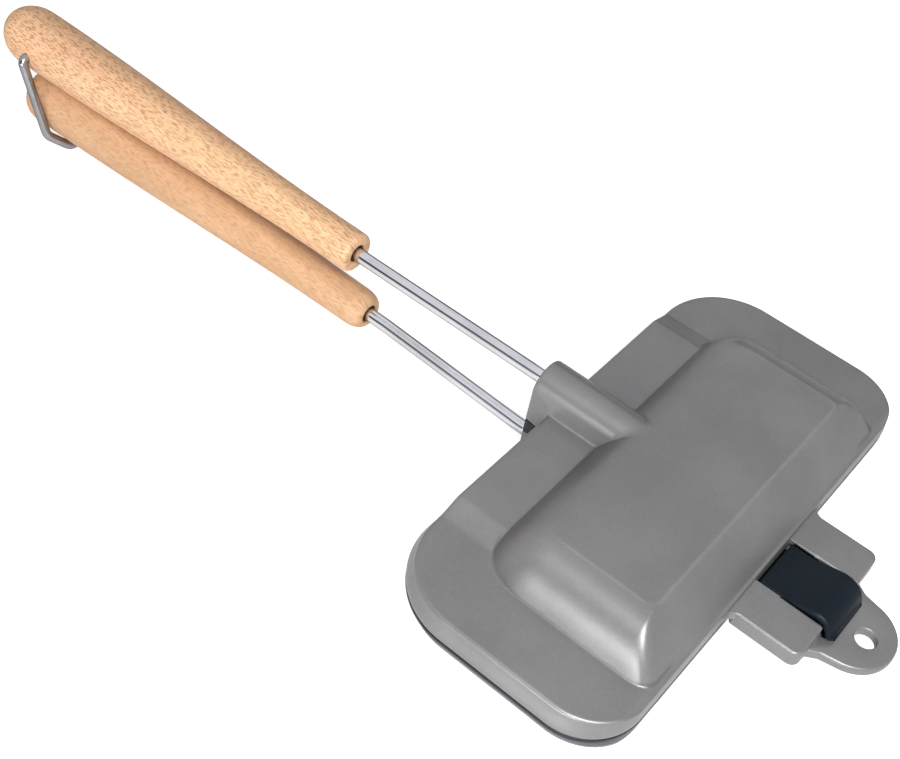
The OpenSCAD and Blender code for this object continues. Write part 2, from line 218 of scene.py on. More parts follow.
def grid_quads(rows: int, cols: int, close_rows: bool, close_cols: bool) -> Array:
    """Corner numbers of the quads of a grid, row by row.

    Args:
        rows: Points along the first parameter.
        cols: Points along the second parameter.
        close_rows: Whether the last row joins the first.
        close_cols: Whether the last column joins the first.

    Returns:
        Four corners per quad.
    """
    i = np.arange(rows if close_rows else rows - 1)[:, None]
    j = np.arange(cols if close_cols else cols - 1)[None, :]
    i2, j2 = (i + 1) % rows, (j + 1) % cols
    corners = [i * cols + j, i * cols + j2, i2 * cols + j2, i2 * cols + j]
    shape = np.broadcast(i, j).shape
    return np.stack([np.broadcast_to(c, shape) for c in corners], -1).reshape(-1, 4)


def make_piece(
    name: str,
    points: Array,
    faces: Iterable[Sequence[int]],
    crease: float = 35.0,
    values: dict[str, Array] | None = None,
) -> Piece:
    """Makes an object from points in millimetres, welded, with outward faces.

    Args:
        name: Name of the piece.
        points: Points in millimetres, one per row.
        faces: Corner numbers of each face.
        crease: Angle in degrees past which an edge is drawn sharp.
        values: Named number at each point, kept as an attribute.

    Returns:
        The new object, at the origin.
    """
    mesh = bpy.data.meshes.new(name)
    mesh.from_pydata((points * MM).tolist(), [], [list(map(int, f)) for f in faces])
    for key, value in (values or {}).items():
        layer = mesh.attributes.new(key, "FLOAT", "POINT")
        layer.data.foreach_set("value", np.asarray(value, np.float32))
    work = bmesh.new()
    work.from_mesh(mesh)
    bmesh.ops.remove_doubles(work, verts=work.verts, dist=2e-6)
    bmesh.ops.dissolve_degenerate(work, edges=work.edges, dist=1e-7)
    bmesh.ops.recalc_face_normals(work, faces=work.faces)
    if work.calc_volume(signed=True) < 0:
        bmesh.ops.reverse_faces(work, faces=work.faces)
    open_edges = sum(not e.is_manifold for e in work.edges)
    work.to_mesh(mesh)
    work.free()
    mesh.polygons.foreach_set("use_smooth", np.ones(len(mesh.polygons), bool))
    mesh.set_sharp_from_angle(angle=math.radians(crease))
    piece = bpy.data.objects.new(name, mesh)
    bpy.context.scene.collection.objects.link(piece)
    log.info("%s: %d faces, %d open edges", name, len(mesh.polygons), open_edges)
    return piece


def slab(outline: Array, low: float, high: float, edge_r: float, plane: Plane, name: str,
         shape: Callable[[Array], Array] | None = None) -> Piece:
    """Outline thickened between two levels, with a quarter round of radius edge_r on both rims.

    At angle a of the quarter round a ring lies edge_r times (1 - sin a) inward and edge_r times
    (1 - cos a) off its face. One flat ring inside it keeps the cap's shading flat.

    Args:
        outline: Anticlockwise outline.
        low: Lower level.
        high: Upper level.
        edge_r: Radius of the rims.
        plane: Plane of the outline.
        name: Name of the piece.
        shape: Last change to the points, such as a taper.

    Returns:
        The new object.
    """
    a = np.radians(np.linspace(0.0, 90.0, 6))
    flat = 0.12
    inward = np.append(edge_r + flat, edge_r * (1.0 - np.sin(a)))
    down = np.append(0.0, edge_r * (1.0 - np.cos(a)))
    inward = np.concatenate([inward, inward[::-1]])
    level = np.concatenate([high - down, (low + down)[::-1]])
    n = len(outline)
    rings = [np.column_stack([inset(outline, d), np.full(n, z)]) for d, z in zip(inward, level)]
    points = np.concatenate(rings)[:, [plane.value.index(k) for k in range(3)]]
    points = shape(points) if shape else points
    faces = grid_quads(len(level), n, False, True).tolist()
    faces += [list(range(n)), list(range((len(level) - 1) * n, len(level) * n))]
    return make_piece(name, points, faces)


def rod_profile(r: float, reach: float) -> Array:
    """Profile of a plain round rod of radius r that ends at reach on both sides of its middle."""
    return np.array([[-reach, 0.0], [-reach, r], [reach, r], [reach, 0.0]])


def turned(profile: Array, start: Sequence[float], along: Sequence[float], name: str,
           sides: int = 96, crease: float = 35.0,
           values: dict[str, Array] | None = None) -> Piece:
    """Profile turned about an axis: each of its points sweeps a circle round the axis.

    Args:
        profile: Distance along the axis and radius of each point, both ends at radius 0.
        start: Point of the axis at distance 0.
        along: Direction of the axis.
        name: Name of the piece.
        sides: Points round the circle.
        crease: Angle in degrees past which an edge is drawn sharp.
        values: Named number at each point, kept as an attribute.

    Returns:
        The new object.
    """
    axis = unit(np.asarray(along, float))
    side = unit(np.cross(axis, [0.0, 0.0, 1.0] if abs(axis[2]) < 0.9 else [1.0, 0.0, 0.0]))
    up = np.cross(side, axis)
    a = np.linspace(0.0, 2.0 * np.pi, sides, endpoint=False)
    circle = np.cos(a)[:, None] * side + np.sin(a)[:, None] * up
    points = np.asarray(start, float) + profile[:, :1, None] * axis + profile[:, 1:, None] * circle
    faces = grid_quads(len(profile), sides, False, True)
    return make_piece(name, points.reshape(-1, 3), faces, crease, values)


def wire(path: Array, across: Sequence[float], r: float, name: str, sides: int = 40) -> Piece:
    """Round wire along a flat path: each path point carries a circle square to the path there.

    Args:
        path: Points of the path, all in one plane.
        across: Direction square to that plane.
        r: Radius of the wire.
        name: Name of the piece.
        sides: Points round the wire.

    Returns:
        The new object.
    """
    tangent = unit(np.gradient(path, axis=0))
    out = unit(np.asarray(across, float))
    normal = unit(np.cross(tangent, out))
    ends = np.concatenate([[0, 0], np.arange(len(path)), [len(path) - 1] * 2])
    shift = np.zeros(len(ends))
    shift[:2], shift[-2:] = -0.12 * r, 0.12 * r
    radius = np.full(len(ends), r)
    radius[[0, -1]], radius[[1, -2]] = 0.0, 0.85 * r
    a = np.linspace(0.0, 2.0 * np.pi, sides, endpoint=False)
    circle = np.cos(a)[None, :, None] * normal[ends][:, None] + np.sin(a)[None, :, None] * out
    centre = path[ends] + tangent[ends] * shift[:, None]
    points = centre[:, None] + circle * radius[:, None, None]
    return make_piece(name, points.reshape(-1, 3), grid_quads(len(ends), sides, False, True), 60.0)


def drill(piece: Piece, centre: Sequence[float], along: Sequence[float], r: float,
          reach: float) -> None:
    """Cuts a round hole through a piece and keeps the result as its mesh.

    Args:
        piece: The piece to cut.
        centre: Middle of the hole.
        along: Direction of the hole.
        r: Radius of the hole.
        reach: Length of the cutter to each side of the centre.
    """
    cutter = turned(rod_profile(r, reach), centre, along, "cutter", 64)
    cut = piece.modifiers.new("hole", "BOOLEAN")
    cut.object = cutter
    cut.operation = "DIFFERENCE"
    cut.solver = "EXACT"
    shaped = piece.evaluated_get(bpy.context.evaluated_depsgraph_get())
    mesh = bpy.data.meshes.new_from_object(shaped)
    piece.modifiers.clear()
    piece.data = mesh
    mesh.set_sharp_from_angle(angle=math.radians(40.0))
    bpy.data.objects.remove(cutter)


# --- Finishes


class Nodes:
    """Short calls for building one node tree."""

    def __init__(self, tree: bpy.types.NodeTree) -> None:
        """Starts with the nodes that the tree has.

        Args:
            tree: Tree that new nodes go into.
        """
        self.tree = tree

    def add(self, kind: str, inputs: dict[str | int, object] | None = None,
            **settings: object) -> Node:
        """Adds a node.

        Args:
            kind: Blender's name for this kind of node.
            inputs: Socket, number or colour for each input that isn't left as it comes.
            settings: The node's own properties, which are set before its inputs.

        Returns:
            The new node.
        """
        node = self.tree.nodes.new(kind)
        for key, value in settings.items():
            setattr(node, key, value)
        for key, value in (inputs or {}).items():
            self.put(value, node.inputs[key])
        return node

    def put(self, value: object, target: Socket) -> None:
        """Links a socket to the target, or sets the target to a number or colour.

        Args:
            value: Socket, number, colour or vector.
            target: Input that it goes into.
        """
        if isinstance(value, Socket):
            self.tree.links.new(value, target)
        elif isinstance(value, tuple) and len(value) == 3 and target.type == "RGBA":
            target.default_value = (*value, 1.0)
        else:
            target.default_value = value

    def math(self, operation: str, a: object, b: object = 0.0) -> Socket:
        """One sum of two numbers or sockets."""
        return self.add("ShaderNodeMath", {0: a, 1: b}, operation=operation).outputs["Value"]


class Graph(Nodes):
    """One material, with its shader and short calls for what feeds it."""

    def __init__(self, name: str) -> None:
        """Starts an empty material.

        Args:
            name: Name of the material.
        """
        self.material = bpy.data.materials.new(name)
        self.material.use_nodes = True
        super().__init__(self.material.node_tree)
        self.tree.nodes.clear()
        self.shader = self.add("ShaderNodeBsdfPrincipled")
        self.add("ShaderNodeOutputMaterial", {"Surface": self.shader.outputs["BSDF"]})
        self.place = self.add("ShaderNodeTexCoord").outputs["Object"]

    def stretched(self, scale: Sequence[float], turn: Sequence[float] = (0, 0, 0)) -> Socket:
        """Object coordinates scaled along each axis, in repeats per metre."""
        inputs = {"Vector": self.place, "Scale": scale, "Rotation": turn}
        return self.add("ShaderNodeMapping", inputs).outputs["Vector"]

    def noise(self, scale: Sequence[float], detail: float, rough: float) -> Socket:
        """Cloudy noise around a half.

        Args:
            scale: Repeats per metre along each axis.
            detail: How many finer layers are added.
            rough: Share that each finer layer keeps.

        Returns:
            Number that varies from place to place.
        """
        inputs = {"Vector": self.stretched(scale), "Scale": 1.0, "Detail": detail,
                  "Roughness": rough}
        return self.add("ShaderNodeTexNoise", inputs).outputs["Fac"]

    def ramp(self, source: Socket, low: float, high: float, to_low: float = 0.0,
             to_high: float = 1.0) -> Socket:
        """Maps low to high smoothly onto to_low to to_high and holds the ends.

        Args:
            source: Number to map.
            low: Where the rise starts.
            high: Where it ends.
            to_low: Result up to low.
            to_high: Result from high on.

        Returns:
            Mapped number.
        """
        node = self.add("ShaderNodeMapRange", {
            "Value": source, "From Min": low, "From Max": high, "To Min": to_low, "To Max": to_high,
        }, interpolation_type="SMOOTHSTEP")
        return node.outputs["Result"]

    def weighed(self, a: object, share_a: object, b: object, share_b: object) -> Socket:
        """Sum of two numbers or sockets, each times its share."""
        first = self.math("MULTIPLY", a, share_a)
        return self.math("ADD", first, self.math("MULTIPLY", b, share_b))

    def mix(self, share: object, a: object, b: object) -> Socket:
        """Colour a at share 0 and colour b at share 1."""
        node = self.add("ShaderNodeMix", {"Factor": share, 6: a, 7: b}, data_type="RGBA")
        return node.outputs[2]

    def painted(self, name: str) -> Socket:
        """Number that a mesh carries at its points under this name."""
        return self.add("ShaderNodeAttribute", attribute_name=name).outputs["Fac"]

    def bump(self, height: Socket, deep: float) -> None:
        """Raises the surface by height times deep, in metres."""
        node = self.add("ShaderNodeBump", {"Strength": 1.0, "Distance": deep, "Height": height})
        self.set("Normal", node.outputs["Normal"])

    def set(self, socket: str, value: object) -> None:
        """Sets or links one socket of the shader."""
        self.put(value, self.shader.inputs[socket])


@dataclass(frozen=True)
class CastFinish:
    """Satin grey casting paint outside and a black non-stick coat where coat is 1.

    The clouds, the orange peel and the grain are given in repeats per metre.
    """

    name: str
    paint_dark: Colour = (0.205, 0.203, 0.203)
    paint_light: Colour = (0.255, 0.252, 0.25)
    paint_metal: float = 0.5
    paint_gloss: float = 0.36
    # Lighter paint for the painted highlight along the face's crease, then near-black paint for the
    # painted shade at the foot of the ends' ramps.
    paint_highlight: Colour = (0.40, 0.39, 0.385)
    paint_foot_shade: Colour = (0.06, 0.06, 0.062)
    coat_dark: Colour = (0.004, 0.007, 0.011)
    coat_light: Colour = (0.009, 0.014, 0.021)
    coat_gloss: float = 0.34
    gloss_spread: float = 0.08
    specular: float = 0.3
    clouds: float = 38.0
    peel: float = 420.0
    grain: float = 1500.0
    relief: float = 0.00003

    def build(self) -> Material:
        """Paint with cloudy tone and a fine cast grain, shading into the coat at its edge.

        Returns:
            The material.
        """
        g = Graph(self.name)
        cloud = g.noise((self.clouds,) * 3, 4.0, 0.55)
        fine = g.noise((self.grain,) * 3, 2.0, 0.6)
        peel = g.noise((self.peel,) * 3, 3.0, 0.5)
        tone = g.ramp(g.weighed(cloud, 0.7, fine, 0.3), 0.3, 0.7)
        # Painted light from the mesh: above 0 mixes in the painted highlight, below 0 the painted
        # shade.
        worn = g.painted("worn")
        crease_highlight = g.math("MULTIPLY", worn, g.ramp(peel, 0.2, 0.6, 0.5, 1.0))
        foot_shaded = g.math("MULTIPLY", worn, -1.0)
        paint = g.mix(tone, self.paint_dark, self.paint_light)
        paint = g.mix(g.math("MAXIMUM", crease_highlight, 0.0), paint, self.paint_highlight)
        paint = g.mix(g.math("MAXIMUM", foot_shaded, 0.0), paint, self.paint_foot_shade)
        coat = g.mix(tone, self.coat_dark, self.coat_light)
        ragged = g.math("MULTIPLY", g.math("SUBTRACT", peel, 0.5), 0.5)
        coated = g.ramp(g.math("ADD", g.painted("coat"), ragged), 0.35, 0.65)
        bare = g.math("SUBTRACT", 1.0, coated)
        spread = g.math("MULTIPLY", peel, self.gloss_spread)
        satin = g.math("ADD", self.paint_gloss - self.gloss_spread / 2, spread)
        slick = g.math("ADD", self.coat_gloss - self.gloss_spread / 2, spread)
        g.set("Base Color", g.mix(coated, paint, coat))
        g.set("Metallic", g.math("MULTIPLY", bare, self.paint_metal))
        g.set("Roughness", g.weighed(satin, bare, slick, coated))
        g.set("Specular IOR Level", self.specular)
        g.bump(g.weighed(peel, 0.6, fine, 0.4), self.relief)
        return g.material


@dataclass(frozen=True)
class SteelFinish:
    """Bright drawn steel, with faint lines along X."""

    name: str
    tone: Colour = (0.82, 0.82, 0.84)
    shade: float = 0.84
    edge: Colour = (0.22, 0.22, 0.25)
    gloss: float = 0.09
    gloss_spread: float = 0.08
    lines: tuple[float, float, float] = (7.0, 2600.0, 2600.0)
    clouds: tuple[float, float, float] = (70.0, 160.0, 160.0)
    relief: float = 0.000006

    def build(self) -> Material:
        """Metal whose gloss and height vary in long thin streaks.

        Returns:
            The material.
        """
        g = Graph(self.name)
        streak = g.noise(self.lines, 2.0, 0.5)
        cloud = g.ramp(g.noise(self.clouds, 3.0, 0.55), 0.3, 0.75)
        g.set("Metallic", 1.0)
        g.set("Specular Tint", self.edge)
        g.set("Base Color", g.mix(cloud, self.tone, tuple(c * self.shade for c in self.tone)))
        spread = g.math("MULTIPLY", streak, self.gloss_spread)
        g.set("Roughness", g.math("ADD", self.gloss, spread))
        g.bump(streak, self.relief)
        return g.material


@dataclass(frozen=True)
class BeechFinish:
    """Oiled beech turned along X, with its short dark flecks, pores and slow growth bands.

    Clouds, bands and fibres are given in repeats per metre, flecks and girth in millimetres.
    """

    name: str
    light: Colour = (0.90, 0.565, 0.325)
    deep: Colour = (0.74, 0.43, 0.22)
    pink: Colour = (0.80, 0.42, 0.28)
    fleck: Colour = (0.36, 0.165, 0.065)
    # Near-black brown of the painted shade inside the rod's bore.
    scorch: Colour = (0.09, 0.045, 0.02)
    clouds: tuple[float, float, float] = (9.0, 60.0, 60.0)
    bands: tuple[float, float, float] = (14.0, 150.0, 95.0)
    fibres: tuple[float, float, float] = (110.0, 1300.0, 1300.0)
    fleck_len: float = 3.4
    fleck_wide: float = 0.44
    fleck_depth: float = 0.85
    scatter: float = 0.9
    axis_z: float = 27.8
    girth: float = 8.5
    offset: float = 0.0
    relief: float = 0.00005

    def build(self) -> Material:
        """Growth bands, pinkish clouds, fibres and two sizes of dashes, all along X.

        Returns:
            The material.
        """
        g = Graph(self.name)
        cloud = g.noise(self.clouds, 2.0, 0.5)
        growth = g.add("ShaderNodeTexWave", {
            "Vector": g.stretched(self.bands, (0.35, 0.02, self.offset)), "Scale": 0.6,
            "Distortion": 5.0, "Detail": 2.0,
        }, wave_type="BANDS", bands_direction="Y")
        band = g.ramp(growth.outputs["Fac"], 0.05, 0.95)
        colour = g.mix(g.math("MULTIPLY", band, 0.4), self.light, self.deep)
        colour = g.mix(g.ramp(cloud, 0.45, 0.72, 0.0, 0.5), colour, self.pink)
        place = g.add("ShaderNodeSeparateXYZ", {"Vector": g.place})
        # Painted shade: the far (+Y) side of the grip, turned from the light, is tinted darker and
        # pinker.
        wander = g.math("MULTIPLY", g.math("SUBTRACT", cloud, 0.5), 0.012)
        far_side_shade = g.ramp(g.math("ADD", place.outputs["Y"], wander), 0.001, 0.008, 0.0, 0.65)
        colour = g.mix(far_side_shade, colour, self.pink)
        fibre = g.noise(self.fibres, 4.0, 0.62)
        colour = g.mix(g.ramp(fibre, 0.48, 0.75, 0.0, 0.5), colour, self.deep)
        over_axis = g.math("SUBTRACT", place.outputs["Z"], self.axis_z * MM)
        turn = g.math("ARCTAN2", place.outputs["Y"], over_axis)
        skin = g.add("ShaderNodeCombineXYZ", {
            "X": place.outputs["X"], "Y": g.math("MULTIPLY", turn, self.girth * MM),
        }).outputs["Vector"]
        flecks = self.dashes(g, skin, 1.0, 0.37, 0.30)
        pores = g.math("MULTIPLY", self.dashes(g, skin, 0.62, 0.33, 0.35), 0.7)
        dark = g.math("MAXIMUM", flecks, pores)
        colour = g.mix(g.math("MULTIPLY", dark, self.fleck_depth), colour, self.fleck)
        # Painted shade inside the rod's bore.
        bore_shading = g.math("MULTIPLY", g.painted("scorch"), 0.9)
        g.set("Base Color", g.mix(bore_shading, colour, self.scorch))
        g.set("Roughness", g.ramp(fibre, 0.2, 0.8, 0.50, 0.62))
        g.bump(g.math("SUBTRACT", g.math("MULTIPLY", fibre, 0.5), dark), self.relief)
        return g.material

    def dashes(self, g: Graph, skin: Socket, size: float, wide: float, rare: float) -> Socket:
        """Dark strokes: the middles of stretched cells, kept where the cell's own number is high.

        The cells' rows are turned by scatter times size, so that they don't show.

        Args:
            g: Graph of the material.
            skin: Places on the turned surface, along and around it, in metres.
            size: Size of the strokes as a share of the finish's own.
            wide: Share of a cell that a stroke fills.
            rare: Share of the cells that stay plain.

        Returns:
            Strength of the strokes.
        """
        cell = (self.fleck_len * size * MM, self.fleck_wide * size**0.5 * MM)
        where = g.add("ShaderNodeMapping", {
            "Vector": skin, "Scale": (1.0 / cell[0], 1.0 / cell[1], 1.0),
            "Rotation": (0.0, 0.0, self.scatter * size),
        }).outputs["Vector"]
        cells = g.add("ShaderNodeTexVoronoi", {"Vector": where, "Scale": 1.0},
                      feature="F1", voronoi_dimensions="2D")
        own = g.add("ShaderNodeSeparateColor", {"Color": cells.outputs["Color"]}).outputs["Red"]
        stroke = g.ramp(cells.outputs["Distance"], wide * 0.5, wide, 1.0, 0.0)
        return g.math("MULTIPLY", stroke, g.ramp(own, rare, rare + 0.2))


def dress(piece: Piece, finish: Material, slot: str, body: str, *nodes: str) -> None:
    """Gives a piece its finish and its body, and hides the imported nodes that it stands for.

    Args:
        piece: The piece.
        finish: Its material.
        slot: Name of a material slot, not used.
        body: Body that it moves with.
        nodes: Nodes that it stands for.
    """
    piece.data.materials.clear()
    piece.data.materials.append(finish)
    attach(piece, body)
    if nodes:
        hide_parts(*nodes)


# --- The cast halves


@dataclass
class HalfForm:
    """Outer and inner faces of one cast half, as heights above its parting plane."""

    half_x: float = 34.55
    half_y: float = 75.25
    height: float = 17.4
    wall: float = 2.2
    rim_land: float = 3.2
    rim_gap: float = 0.15
    handle_corner: float = 22.5
    hinge_corner: float = 16.0
    flange: float = 5.7
    lean: float = 1.5
    hinge_lean: float = 0.25
    band: float = 1.2
    face_y: float = 44.0
    face_x0: float = -6.0
    face_x1: float = 23.3
    face_corner: float = 3.2
    end_run: float = 12.4
    end_start: float = 0.2
    end_power: float = 2.7
    handle_run: float = 12.5
    handle_soft: float = 3.0
    handle_power: float = 1.6
    hinge_foot: float = 3.4
    hinge_start: float = 0.7
    hinge_power: float = 1.6
    squareness: float = 2.6
    mitre: float = 3.0
    crest_soft: float = 0.12
    step_h: float = 2.2
    step_y: float = 44.0
    step_run: float = 6.5
    step_ease: float = 4.0
    step_soft: float = 0.12
    rim_slope: float = 1.5
    rim_soft: float = 1.2
    foot_soft: float = 0.45
    boss_soft: float = 0.9
    boss_r: float = 6.2
    boss_z: float = 11.1
    boss_out: float = 5.0
    boss_flank: float = 6.35
    boss_turn: float = 0.97
    boss_steep: float = 1.2
    boss_fade: float = 0.10
    boss_fade_x: float = -9.5
    boss_fade_power: float = 1.3
    # Strengths of the painted highlight along the face's crease and the painted shade at the ramps'
    # foot.
    crease_highlight: float = 0.3
    foot_shade: float = 0.5
    edge_r: float = 1.1
    hinge_edge: float = 0.5
    boss_edge: float = 0.9

    def block(self, x: Array, y: Array, wall: float) -> Array:
        """Height of the block: its flat face less the drop past the face's outline.

        On the handle side the distance past the outline comes from the two sides' distances, each
        raised to the squareness, and the drop blends the end's profile with the side's by the
        squares of those distances, so that the corners are round. On the hinge side the two drops
        are each raised to the power mitre and summed, which gives a mitre with a soft edge.

        Args:
            x: Place across the pan.
            y: Place along the pan.
            wall: 0 for the outer face, or the wall's thickness for the inner one.

        Returns:
            Height above the parting plane, below 0 far from the block.
        """
        shift = 0.35 * wall
        hinge = x - self.face_x1 + shift
        handle = self.face_x0 + shift - x
        end_past = np.abs(y) - self.face_y + shift
        past, across, along = self.round_corner(handle, end_past)
        share = along**2 / (across**2 + along**2 + 1e-9)
        depth = self.height - self.flange
        end_form = (self.end_run, depth, self.end_start, self.end_power, self.crest_soft)
        side = self.profile(past, self.handle_run, depth, 0.0, self.handle_power, self.handle_soft)
        to_handle = share * self.profile(past, *end_form) + (1.0 - share) * side
        hinge_run, hinge_depth = self.half_x - self.face_x1, self.height - self.hinge_foot
        slope = self.profile(hinge, hinge_run, hinge_depth, self.hinge_start, self.hinge_power,
                             self.crest_soft)
        end = self.profile(end_past, *end_form)
        to_hinge = (end**self.mitre + slope**self.mitre) ** (1.0 / self.mitre)
        return self.height - wall - np.where(hinge > handle, to_hinge, to_handle)

    def round_corner(self, side: Array, end: Array) -> tuple[Array, Array, Array]:
        """Distance past the face's outline near a corner, from the distances past its two sides.

        Each is measured from the corner's centre, raised to the squareness, and summed.

        Args:
            side: Signed distance past the side.
            end: Signed distance past the end.

        Returns:
            Distance past the outline, and the two distances from the corner's centre.
        """
        r, power = self.face_corner, self.squareness
        across, along = np.maximum(side + r, 0.0), np.maximum(end + r, 0.0)
        return (across**power + along**power) ** (1.0 / power) - r, across, along

    @staticmethod
    def profile(past: Array, run: float, depth: float, start: float, power: float,
                soft: float) -> Array:
        """Drop of a ramp: start times the distance, plus a power that makes up the depth.

        Args:
            past: Distance past the face's outline.
            run: Distance at which the ramp has its full depth.
            depth: Full depth.
            start: Fall per mm at the crest.
            power: How it steepens toward the foot.
            soft: Softness of the crest.

        Returns:
            Drop below the face.
        """
        d = past_edge(past, soft) * run / (math.hypot(run, soft) - soft)
        return start * d + (depth - start * run) * (d / run) ** power

    def top(self, x: Array, y: Array, wall: float = 0.0) -> Array:
        """Height of the outer face, or of the inner one where a wall is given.

        Args:
            x: Place across the pan.
            y: Place along the pan.
            wall: Thickness of the wall below the outer face.

        Returns:
            Height above the parting plane.
        """
        side = (self.step_y + self.step_run - wall * 0.5 - np.abs(y)) / self.step_run
        none = np.zeros_like(side)
        share = soft_min(soft_max(side, none, self.step_soft), none + 1.0, self.step_soft)
        before_face = ease((self.face_x0 + self.step_ease - x) / self.step_ease)
        flange = self.flange - wall + self.step_h * share * before_face
        fall = self.hinge_foot + (self.half_x - x) * self.rim_slope - wall * 0.2
        flange = soft_min(flange, fall, self.rim_soft)
        height = soft_max(flange, self.block(x, y, wall), self.foot_soft + 0.2 * wall)
        if wall == 0.0:
            height = soft_max(height, self.boss(x, y), self.boss_soft)
        return np.minimum(height, self.height - wall)

    def boss(self, x: Array, y: Array) -> Array:
        """Height of the rod's boss: a round crest whose flanks drop at a steep tangent.

        Args:
            x: Place across the pan.
            y: Place along the pan.

        Returns:
            Height above the parting plane.
        """
        turn = self.boss_turn * self.boss_r
        near = np.minimum(np.abs(y), turn)
        crest = self.boss_z + np.sqrt(self.boss_r**2 - near**2)
        tangent = self.boss_steep * turn / math.sqrt(self.boss_r**2 - turn**2)
        fade = self.boss_fade * np.maximum(x - self.boss_fade_x, 0.0) ** self.boss_fade_power
        return crest - (np.abs(y) - near) * tangent - fade

    def worn(self, x: Array, y: Array) -> Array:
        """Painted light on the outer face: above 0 a painted highlight, below 0 painted shade.

        A thin lighter band along the crease round the face is painted highlight, and the corner at
        the foot of the ends' ramps is darkened as painted shade.

        Args:
            x: Place across the pan.
            y: Place along the pan.

        Returns:
            Wear at each point.
        """
        past = self.round_corner(x - self.face_x1, np.abs(y) - self.face_y)[0]
        on_face = ease((x - self.face_x0) / 5.0)
        crease = np.exp(-((past - 0.15) / 0.42) ** 2) * on_face
        gap = self.block(x, y, 0.0) - self.flange
        foot = np.exp(-((gap - 0.25) / 0.45) ** 2) * ease((np.abs(y) - self.face_y) / 4.0)
        return self.crease_highlight * crease - self.foot_shade * foot * (1.0 - crease)

    def row_places(self) -> tuple[Array, Array, Array]:
        """Places of the grid's rows along the pan, closest at the flanks and creases.

        Returns:
            The rows' Y on the straight sides, and their angles on the handle-side and
            hinge-side corners, which are 0 on the straight sides.
        """
        start = self.half_y - self.handle_corner
        straight = np.concatenate([
            np.linspace(0.0, 5.0, 9), np.linspace(5.12, 7.6, 22), np.linspace(8.3, 42.8, 44),
            np.linspace(43.2, 45.4, 11), np.linspace(45.8, start, 20),
        ])
        turn = np.concatenate([np.linspace(0.9, 20.0, 22), np.linspace(22.5, 90.0, 28)])
        turn = np.radians(turn)
        reach = self.handle_corner - self.lean - self.edge_r
        y = np.concatenate([straight, start + reach * np.sin(turn)])
        handle_turn = np.concatenate([0.0 * straight, turn])
        hinge_start = self.half_y - self.hinge_corner
        hinge_reach = self.hinge_corner - self.lean - self.edge_r
        hinge_turn = np.arcsin(np.clip((y - hinge_start) / hinge_reach, 0.0, 1.0))

        def both(half: Array, sign: float) -> Array:
            """Mirrors a half, which starts on the symmetry plane."""
            return np.concatenate([sign * half[:0:-1], half])

        return both(y, -1.0), both(handle_turn, 1.0), both(hinge_turn, 1.0)

    def border(self, left: Array | float, right: float, end: float,
               bulge: float) -> tuple[Array, Array]:
        """Left and right ends of all rows on the outline moved inward.

        Its straight sides move by the insets and its corners are ellipses about fixed centres.

        Args:
            left: Inset of the handle side.
            right: Inset of the hinge side.
            end: Inset of both ends.
            bulge: 1 to follow the boss out over the rim, 0 to pass under it.

        Returns:
            Points in plan of the left and of the right ends.
        """
        y, handle_turn, hinge_turn = self.row_places()
        swell = bulge * self.boss_out * self.bulging(y)
        ends = []
        for sign, corner, turn, side in ((-1.0, self.handle_corner, handle_turn, left),
                                         (1.0, self.hinge_corner, hinge_turn, right)):
            cx, cy = self.half_x - corner, self.half_y - corner
            x = sign * (cx + (corner - side) * np.cos(turn))
            if sign < 0:
                x = x - swell
            around = np.sign(y) * (cy + (corner - end) * np.sin(turn))
            ends.append(np.column_stack([x, np.where(turn > 0.0, around, y)]))
        return ends[0], ends[1]

    def bulging(self, y: Array) -> Array:
        """1 where the boss stands out over the rim and 0 beside it, with steep flanks."""
        return ease((self.boss_flank + 0.45 - np.abs(y)) / 0.9)

    def column_places(self) -> Array:
        """Places of the grid's columns across the pan, closest at the ramps' creases.

        Returns:
            The columns' X.
        """
        low = -self.half_x + self.lean + self.edge_r
        high = self.half_x - self.hinge_lean - self.hinge_edge
        parts = [
            np.linspace(low, -20.6, 14), np.linspace(-20.2, -16.4, 13),
            np.linspace(-15.8, -6.0, 16), np.linspace(-4.5, 22.4, 19),
            np.linspace(22.6, 24.4, 10), np.linspace(24.9, high, 19),
        ]
        return np.concatenate(parts)

    def fill(self, left: Array, right: Array) -> Array:
        """Grid of points in plan between the rows' ends, keeping the columns' places.

        Args:
            left: Left end of each row.
            right: Right end of each row.

        Returns:
            Points in plan, rows by columns.
        """
        ref, knot = self.column_places()[None, :], self.face_x0
        lx, rx = left[:, :1], right[:, :1]
        x = np.where(
            ref < knot,
            knot + (ref - knot) / (ref[0, 0] - knot) * (lx - knot),
            knot + (ref - knot) / (ref[0, -1] - knot) * (rx - knot),
        )
        t = (x - lx) / (rx - lx)
        return np.stack([x, left[:, 1:] * (1.0 - t) + right[:, 1:] * t], -1)

    @staticmethod
    def rim_of(grid: Array) -> Array:
        """Border points of a grid, anticlockwise from its near right corner."""
        return np.concatenate([grid[:, -1], grid[-1, -2:0:-1], grid[::-1, 0], grid[0, 1:-1]])

    def shell(self) -> tuple[Array, Array, dict[str, Array]]:
        """Closed skin of one half: an outer grid, rings round the rim and an inner grid.

        The rings run from the outer face down the skirt, in over the rim's land and up the
        inner wall to the inner face.

        Returns:
            Points, faces and two values per point: coat, which is 1 where the non-stick coat
            covers it, and worn, which holds the painted highlight and painted shade.
        """
        rings: list[Array] = []
        coat: list[float] = []
        boss = self.bulging(self.row_places()[0])
        lean = self.lean * (1.0 - boss) + 0.05 * boss
        edge = self.edge_r * (1.0 - boss) + self.boss_edge * boss

        def loop(left: Array | float, right: float, end: float, bulge: float = 1.0) -> Array:
            """Ring in plan at those insets."""
            return self.rim_of(self.fill(*self.border(left, right, end, bulge)))

        def ring(plan: Array, z: Array | float, coated: float) -> None:
            """Adds one ring."""
            rings.append(np.column_stack([plan, np.broadcast_to(z, len(plan))]))
            coat.append(coated)

